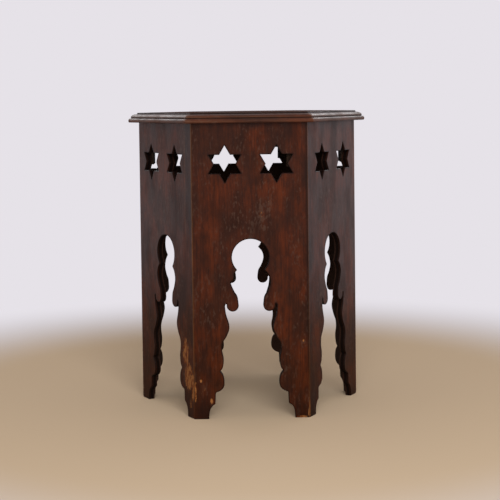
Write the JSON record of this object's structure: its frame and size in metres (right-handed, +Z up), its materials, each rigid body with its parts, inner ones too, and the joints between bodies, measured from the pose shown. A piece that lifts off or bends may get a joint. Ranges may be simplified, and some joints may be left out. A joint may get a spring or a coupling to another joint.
{
  "type": "side table",
  "caption": "Six-sided Moorish side table of mitred boards with pierced stars, scalloped keyhole arches that leave leg-like feet, and a flat moulded top.",
  "frame": {"origin": "on the floor under the middle of the table", "axes": "+Z up through the middle of the top; the front side board faces -Y; two corners of the table lie on the X axis"},
  "size_m": [0.4578, 0.3966, 0.56],
  "materials": {
    "top_wood": "dark stained hardwood under old, rubbed varnish",
    "side_wood": "dark stained hardwood under thin varnish, sawn and scraped by hand",
    "inner_wood": "unfinished softwood, darkened by age",
    "screw_steel": "dull old steel"
  },
  "bodies": {
    "root": {"top_board_front": "top_wood", "top_board_middle": "top_wood", "top_board_back": "top_wood", "panel_front": "side_wood", "cleat_front": "inner_wood", "corner_block_1": "inner_wood", "top_screw_front": "screw_steel", "panel_screw_front_1": "screw_steel", "panel_screw_front_2": "screw_steel", "panel_front_right": "side_wood", "cleat_front_right": "inner_wood", "corner_block_2": "inner_wood", "top_screw_front_right": "screw_steel", "panel_screw_front_right_1": "screw_steel", "panel_screw_front_right_2": "screw_steel", "panel_back_right": "side_wood", "cleat_back_right": "inner_wood", "corner_block_3": "inner_wood", "top_screw_back_right": "screw_steel", "panel_screw_back_right_1": "screw_steel", "panel_screw_back_right_2": "screw_steel", "panel_back": "side_wood", "cleat_back": "inner_wood", "corner_block_4": "inner_wood", "top_screw_back": "screw_steel", "panel_screw_back_1": "screw_steel", "panel_screw_back_2": "screw_steel", "panel_back_left": "side_wood", "cleat_back_left": "inner_wood", "corner_block_5": "inner_wood", "top_screw_back_left": "screw_steel", "panel_screw_back_left_1": "screw_steel", "panel_screw_back_left_2": "screw_steel", "panel_front_left": "side_wood", "cleat_front_left": "inner_wood", "corner_block_6": "inner_wood", "top_screw_front_left": "screw_steel", "panel_screw_front_left_1": "screw_steel", "panel_screw_front_left_2": "screw_steel"}
  },
  "joints": []
}
